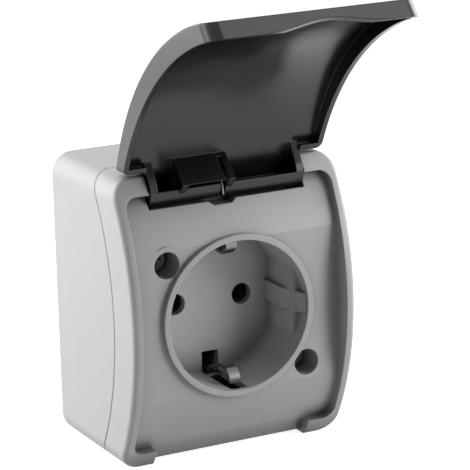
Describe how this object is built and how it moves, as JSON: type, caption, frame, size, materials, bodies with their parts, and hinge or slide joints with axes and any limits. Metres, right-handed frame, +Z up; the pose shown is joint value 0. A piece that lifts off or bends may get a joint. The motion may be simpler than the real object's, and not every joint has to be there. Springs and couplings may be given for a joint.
{
  "type": "outdoor weatherproof socket",
  "caption": "Surface-mounted outdoor mains socket: bowed light-grey housing, round plug well with side earth leaves, sprung black lid standing open.",
  "frame": {"origin": "centre of the housing's back face, in the wall plane", "axes": "+Z up, +Y into the wall, the plug enters along +Y, +X to the right as seen from the front"},
  "size_m": [0.0624, 0.0849, 0.1206],
  "materials": {
    "housing_plastic": "satin, light grey",
    "lid_plastic": "near-black, soft gloss",
    "carrier_plastic": "matte, off-white",
    "seal_rubber": "matte black",
    "spring_steel": "drawn wire",
    "screw_steel": "zinc plated",
    "contact_brass": "stamped",
    "earth_metal": "nickel plated strip"
  },
  "bodies": {
    "housing": {"base_box": "housing_plastic", "front_cover": "housing_plastic", "well_floor": "housing_plastic", "cover_gasket": "seal_rubber", "cover_screw_upper": "screw_steel", "cover_screw_lower": "screw_steel", "screw_seal_upper": "seal_rubber", "screw_seal_lower": "seal_rubber", "contact_carrier": "carrier_plastic", "contact_left": "contact_brass", "contact_right": "contact_brass", "contact_clip_left": "spring_steel", "contact_clip_right": "spring_steel", "earth_strap": "earth_metal", "earth_rivet": "contact_brass", "live_terminal_screw": "screw_steel", "neutral_terminal_screw": "screw_steel", "earth_terminal_screw": "screw_steel", "live_clamp": "screw_steel", "neutral_clamp": "screw_steel", "earth_clamp": "screw_steel", "carrier_screw_left": "screw_steel", "carrier_screw_right": "screw_steel", "bottom_grommet": "seal_rubber", "top_grommet": "seal_rubber"},
    "lid": {"lid": "lid_plastic", "lid_spring": "spring_steel", "spring_pin": "spring_steel"}
  },
  "joints": [
    {"name": "lid_hinge", "type": "hinge", "parent": "housing", "child": "lid", "pos_m": [0, -0.0346, 0.0348], "axis": [1, 0, 0], "range_deg": [0, 130]}
  ]
}
